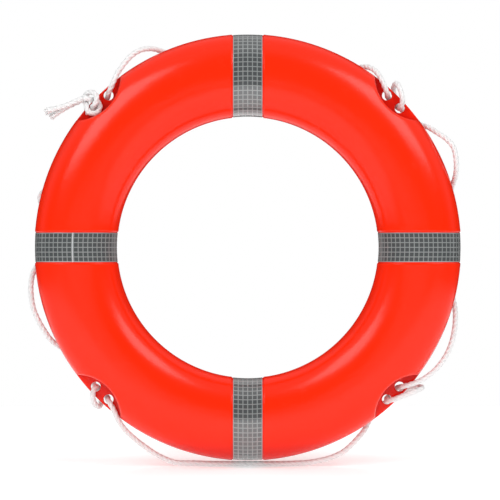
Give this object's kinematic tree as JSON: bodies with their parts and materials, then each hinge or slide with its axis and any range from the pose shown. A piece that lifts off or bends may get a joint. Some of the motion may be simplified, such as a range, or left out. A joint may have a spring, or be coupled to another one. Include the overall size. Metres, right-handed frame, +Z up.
{
  "type": "ring lifebuoy",
  "caption": "Hard-shelled ring lifebuoy, foam filled, with reflective tapes round the tube and a knotted rope laced through pockets in its edge.",
  "frame": {"origin": "top of the ring's inner edge on its middle plane, where a wall hook holds it up", "axes": "+X to the right seen from the front, +Y from the front to the back along the ring's own axis, +Z up; the front faces -Y"},
  "size_m": [0.7456, 0.1277, 0.7444],
  "materials": {
    "shell_plastic": "satin",
    "plug_plastic": "satin",
    "foam": "matte",
    "reflective_tape": "satin",
    "rope": "matte"
  },
  "bodies": {
    "root": {"shell_front": "shell_plastic", "shell_back": "shell_plastic", "foam_core": "foam", "tape_top": "reflective_tape", "tape_right": "reflective_tape", "tape_bottom": "reflective_tape", "tape_left": "reflective_tape", "foam_fill_plug": "plug_plastic", "foam_vent_plug": "plug_plastic", "grab_rope": "rope", "rope_knot": "rope", "rope_end_long": "rope", "rope_end_short": "rope"}
  },
  "joints": []
}
